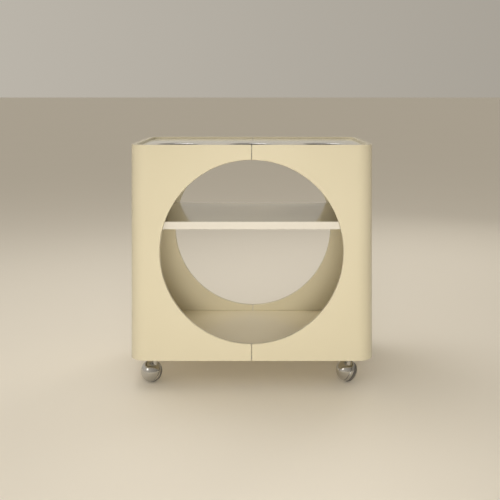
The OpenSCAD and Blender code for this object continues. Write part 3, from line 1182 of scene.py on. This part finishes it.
@dataclass
class BallCaster:
    """One ball caster: hood with neck and stem, axle, half-ball wheel and tread."""

    corner: Corner
    ball: float = 27.5 * MM
    proud: float = 0.5 * MM
    sheet: float = 2.4 * MM
    split: float = 0.4 * MM
    soft: float = 0.5 * MM
    hub: float = 8 * MM
    hub_out: float = 23 * MM
    hub_in: float = -18 * MM
    hub_pocket: float = 5 * MM
    recess: float = 5.6 * MM
    rim: float = 3.2 * MM
    tread_in: float = 8 * MM
    tread_out: float = 18 * MM
    tread_depth: float = 3 * MM
    tread_play: float = 0.05 * MM
    tread_edge: float = 0.2 * MM
    run: float = 0.08 * MM
    axle: float = 3 * MM
    axle_low: float = -24.3 * MM
    axle_head: float = 4.6 * MM
    axle_head_high: float = 1.6 * MM
    neck: float = 6 * MM
    neck_low: float = 43.5 * MM
    neck_soft: float = 0.3 * MM
    collar: float = 7.6 * MM
    collar_top: float = 67.9 * MM
    collar_high: float = 3 * MM
    collar_soft: float = 0.8 * MM
    stem: float = 5 * MM
    head: float = 6.6 * MM
    head_high: float = 1.6 * MM
    plate: float = 38 * MM
    plate_thick: float = 2.5 * MM
    plate_corner: float = 5 * MM
    boss: float = 9 * MM
    screw_place: float = 13.5 * MM
    screw_head: float = 3.4 * MM
    screw_height: float = 2 * MM
    screw_shank: float = 1.9 * MM
    ball_steps: int = 96
    neck_steps: int = 64
    axle_steps: int = 48

    @property
    def hood_radius(self) -> float:
        """Radius of the chromed half balls."""
        return self.ball - self.proud

    @property
    def groove(self) -> float:
        """Radius of the bottom of the tread's groove."""
        return self.hood_radius - self.tread_depth

    def node(self, part: str) -> str:
        """Name of the CAD node of one of the caster's parts."""
        return f"caster_{part}_{self.corner.value}"

    def axle_frame(self) -> Matrix:
        """Placement that puts Z along the axle, with the origin at the ball's middle."""
        roll = joint(f"roll_{self.corner.value}")
        return facing(Vector(roll["pos_m"]), Vector(roll["axis"]))

    def swivel_frame(self) -> Matrix:
        """Placement on the swivel axis, at the ground."""
        swivel = joint(f"swivel_{self.corner.value}")
        return Matrix.Translation((swivel["pos_m"][0], swivel["pos_m"][1], 0.0))

    def plate_frame(self) -> Matrix:
        """Placement on the swivel axis, turned with the caster, at the underside of the floor panel."""
        axis = joint(f"roll_{self.corner.value}")["axis"]
        under = Matrix.Translation((0, 0, box("floor_panel")[0].z))
        return self.swivel_frame() @ under @ Matrix.Rotation(math.atan2(axis[1], axis[0]), 4, "Z")

    def screw_spots(self, height: float) -> list[Matrix]:
        """Places of the plate's four screws in its own frame, at a height."""
        at = self.screw_place
        return [Matrix.Translation((x * at, y * at, height)) for x in (-1, 1) for y in (-1, 1)]

    def mount(self, bench: Bench, part: str, finish: Finish, slot: str, angle: float = 40.0) -> None:
        """Takes a moving part off the bench and installs it.

        Args:
            bench: The bench with the part in its place.
            part: The part's name.
            finish: Its finish.
            slot: Its material slot.
            angle: Edges sharper than this many degrees stay sharp.
        """
        body = "wheel" if part in ("wheel", "tread") else "swivel"
        install(bench.off(angle), finish, f"{body}_{self.corner.value}", slot, self.node(part))

    def boss_tube(self) -> bpy.types.Object:
        """The bored boss in the middle of the plate, in the plate's frame."""
        under = box("floor_panel")[0].z
        low, high = (corner.z - under for corner in box(self.node("plate")))
        boss, soft, bore = self.boss, self.soft, self.stem + self.run
        rings = [(bore, low + soft / 2), (bore + soft / 2, low), (boss - 2 * soft, low)]
        rings += [(boss, low + 2 * soft), (boss, high - soft), (boss - soft, high), (bore, high)]
        return Bench("boss").lathe(rings, self.neck_steps, closed=True).off(weighted=False)

    def plate_and_screws(self) -> None:
        """The mounting plate with its boss, and its four screws."""
        boss, half, face = self.boss_tube(), self.plate / 2, -self.plate_thick
        bench = Bench(f"{self.node('plate')}_pressed").cube((-half, -half, face), (half, half, 0.0))
        bench.bevel(self.plate_corner, 8, upright(MM))
        bench.bevel(self.soft, 3, lambda e: all(abs(v.co.z - face) < TOUCH for v in e.verts))
        drilled(bench, bar(self.boss - self.soft, -REACH, REACH), [Matrix.Identity(4)]).joined(boss, "UNION")
        spots = self.screw_spots(face)
        drilled(bench, bar(self.screw_shank, -REACH, REACH), spots).clean().put(self.plate_frame())
        install(bench.off(40.0), ZINC, "cart", "plate_steel", self.node("plate"))
        node = self.node("screws")
        low, high = box(node)
        length = high.z - low.z - self.screw_height
        screw = Screw(self.screw_head, self.screw_height, self.screw_shank, length)
        places = [self.plate_frame() @ spot for spot in spots]
        install(screw.row(f"{node}_turned", places), SCREW_ZINC, "cart", "screw_steel", node)

    def neck_piece(self) -> bpy.types.Object:
        """Neck, collar, stem and its head, on the swivel axis."""
        top = box(self.node("hood"))[1].z
        under, collar_top = top - self.head_high, self.collar_top
        foot = collar_top - self.collar_high
        neck, collar, head, soft, round_ = self.neck, self.collar, self.head, self.neck_soft, self.collar_soft
        rings = (
            [(0.0, self.neck_low), (neck - soft, self.neck_low), (neck, self.neck_low + soft)]
            + [(neck, foot - 2 * soft), (neck + soft, foot - soft / 3)]
            + [(collar - round_, foot), (collar, foot + round_)]
            + [(collar, collar_top - round_), (collar - round_, collar_top)]
            + [(self.stem, collar_top), (self.stem, under), (head - soft, under), (head, under + soft)]
            + [(head, top - 0.4 * MM), (head - 0.4 * MM, top), (0.0, top)]
        )
        return Bench("neck").lathe(rings, self.neck_steps).put(self.swivel_frame()).off(weighted=False)

    def hood(self) -> None:
        """The fixed half ball with its neck."""
        radius, inside, soft, split = self.hood_radius, self.hood_radius - self.sheet, self.soft, -self.split
        rings = (
            [(0.0, -radius)]
            + arc((0, 0), radius, -88, height_angle(radius, split - soft), 28)
            + [(radius - soft, split), (inside + soft, split)]
            + ball_arc(inside, split - soft, -half_chord(inside, self.hub), 18)
            + [(self.hub, split), (self.axle, split), (self.axle, self.hub_in), (0.0, self.hub_in)]
        )
        neck = self.neck_piece()
        bench = Bench(f"{self.node('hood')}_chromed").lathe(rings, self.ball_steps)
        bench.put(self.axle_frame()).joined(neck, "UNION").clean()
        self.mount(bench, "hood", BALL_CHROME, "caster_chrome")

    def wheel(self) -> None:
        """The rolling half ball."""
        radius, groove, inside = self.hood_radius, self.groove, self.groove - self.rim
        bore, soft, split = self.axle + self.run, self.soft, self.split
        recess, edge, pocket = self.recess, 0.3 * MM, self.hub_out - self.hub_pocket
        mouth = half_chord(radius, recess)
        rings = (
            [(bore, split), (self.hub, split), (self.hub, pocket)]
            + ball_arc(inside, pocket, split, 14)
            + [(radius - soft, split)]
            + ball_arc(radius, split + soft, self.tread_in, 6)
            + ball_arc(groove, self.tread_in, self.tread_out, 8)
            + arc((0, 0), radius, height_angle(radius, self.tread_out), 76, 12)
            + [(recess + edge, mouth), (recess, mouth - edge), (recess, self.hub_out), (bore, self.hub_out)]
        )
        bench = Bench(f"{self.node('wheel')}_chromed").lathe(rings, self.ball_steps, closed=True)
        self.mount(bench.put(self.axle_frame()), "wheel", BALL_CHROME, "caster_chrome")

    def tread(self) -> None:
        """The tread ring let into the wheel."""
        low, high = self.tread_in + self.tread_play, self.tread_out - self.tread_play
        edges = [(half_chord(self.hood_radius, height) - self.tread_edge, height) for height in (low, high)]
        rings = ball_arc(self.groove, self.tread_out, self.tread_in, 8) + edges[:1]
        rings += ball_arc(self.ball, low + self.soft, high - self.soft, 10) + edges[1:]
        bench = Bench(f"{self.node('tread')}_moulded").lathe(rings, self.ball_steps, closed=True)
        self.mount(bench.put(self.axle_frame()), "tread", TREAD, "tread_rubber", 50.0)

    def axle_pin(self) -> None:
        """The axle with its domed head."""
        axle, low, under, head = self.axle, self.axle_low, self.hub_out + 0.5 * MM, self.axle_head
        top, chamfer = under + self.axle_head_high, 0.4 * MM
        rings = (
            [(0.0, low), (axle - chamfer, low), (axle, low + chamfer), (axle, under)]
            + [(head - 0.2 * MM, under), (head, under + 0.3 * MM), (head, under + 0.8 * MM)]
            + [(head - 0.7 * MM, top - 0.25 * MM), (head - 2 * MM, top), (0.0, top)]
        )
        bench = Bench(f"{self.node('axle')}_turned").lathe(rings, self.axle_steps)
        self.mount(bench.put(self.axle_frame()), "axle", AXLE_STEEL, "axle_steel")

    def build(self) -> None:
        """Models and installs the caster."""
        self.hood()
        self.wheel()
        self.tread()
        self.axle_pin()
        self.plate_and_screws()


# ---- Studio ----------------------------------------------------------------


@dataclass(frozen=True)
class Lamp:
    """A square soft lamp: place and aim in metres, side in metres, power in watts, beam in degrees."""

    name: str
    place: Triple
    aim: Triple
    size: float
    power: float
    colour: Colour = (1.0, 0.96, 0.88)
    glossy: bool = False
    beam: float = 180.0

    def hang(self) -> None:
        """Hangs the lamp, out of the camera's sight."""
        data = bpy.data.lights.new(self.name, "AREA")
        data.shape, data.size, data.energy, data.color = "SQUARE", self.size, self.power, self.colour
        data.spread = math.radians(self.beam)
        lamp = bpy.data.objects.new(self.name, data)
        bpy.context.scene.collection.objects.link(lamp)
        lamp.location = self.place
        lamp.visible_glossy, lamp.visible_camera = self.glossy, False
        lamp.rotation_euler = (Vector(self.aim) - Vector(self.place)).to_track_quat("-Z", "Y").to_euler()


@dataclass
class Studio:
    """Pale floor, soft light and the camera."""

    lens: float = 59.54
    sensor: float = 36.0
    eye: Triple = (0.021, -2.267, 0.734)
    shift: tuple[float, float] = (-0.020, -0.311)
    floor_size: float = 400.0
    pale: Colour = (0.88, 0.83, 0.74)
    left_sky: Colour = (0.61, 0.57, 0.50)
    right_sky: Colour = (0.28, 0.255, 0.215)
    lamps: tuple[Lamp, ...] = (
        Lamp("key", (0.02, -2.5, 0.54), (0, 0, 0.33), 0.5, 5.1, beam=70.0),
        Lamp("fill", (-0.2, -2.4, 2.3), (0, 0, 0.2), 1.2, 3.5),
        Lamp("side", (-1.7, -1.8, 1.1), (-0.3, 0, 0.35), 0.7, 3.0, glossy=True),
        Lamp("overhead", (-0.8, 0.6, 2.6), (0, 0, 0.3), 1.6, 17.0, (1.0, 0.98, 0.95), True),
        Lamp("rear", (1.6, 3.0, 1.6), (0, 0, 0.3), 1.4, 5.0, beam=80.0),
    )

    def floor(self) -> None:
        """Lays the floor."""
        Bench("floor")
        bpy.ops.mesh.primitive_plane_add(size=self.floor_size, location=(0, 0, 0))
        floor = bpy.context.object
        floor.name = "floor"
        g = Graph("floor_paint")
        base = g.blend(g.noise(1.2, detail=2.0) * 0.5, self.pale, shade(self.pale, 0.96))
        floor.data.materials.append(g.finish(Base_Color=base, Roughness=0.75))

    def sky(self) -> None:
        """Sets the light from all round, brighter from the left."""
        world = bpy.data.worlds.new("studio")
        bpy.context.scene.world = world
        world.use_nodes = True
        tree = world.node_tree
        place = tree.nodes.new("ShaderNodeTexCoord")
        split = tree.nodes.new("ShaderNodeSeparateXYZ")
        share = tree.nodes.new("ShaderNodeMath")
        share.operation = "MULTIPLY_ADD"
        share.inputs[1].default_value = share.inputs[2].default_value = 0.5
        ramp = tree.nodes.new("ShaderNodeValToRGB")
        for stop, colour in zip(ramp.color_ramp.elements, (self.left_sky, self.right_sky)):
            stop.color = (*colour, 1.0)
        tree.links.new(place.outputs["Generated"], split.inputs[0])
        tree.links.new(split.outputs["X"], share.inputs[0])
        tree.links.new(share.outputs[0], ramp.inputs[0])
        tree.links.new(ramp.outputs[0], tree.nodes["Background"].inputs["Color"])

    def camera(self) -> None:
        """Stands the camera level in front of the body."""
        data = bpy.data.cameras.new("camera")
        data.lens, data.sensor_width = self.lens, self.sensor
        data.shift_x, data.shift_y = self.shift
        camera = bpy.data.objects.new("camera", data)
        bpy.context.scene.collection.objects.link(camera)
        camera.location = self.eye
        camera.rotation_euler = (math.pi / 2, 0, 0)
        bpy.context.scene.camera = camera

    def build(self) -> None:
        """Sets up the studio."""
        bpy.context.scene.view_settings.view_transform = "Standard"
        self.camera()
        self.floor()
        self.sky()
        for lamp in self.lamps:
            lamp.hang()


def main() -> None:
    """Builds the trolley's looks and the studio round it."""
    Studio().build()
    Shells().build()
    Boards().build()
    Wells().build()
    for corner in Corner:
        BallCaster(corner).build()
    Fixings().build()


if __name__ == "__main__":
    main()
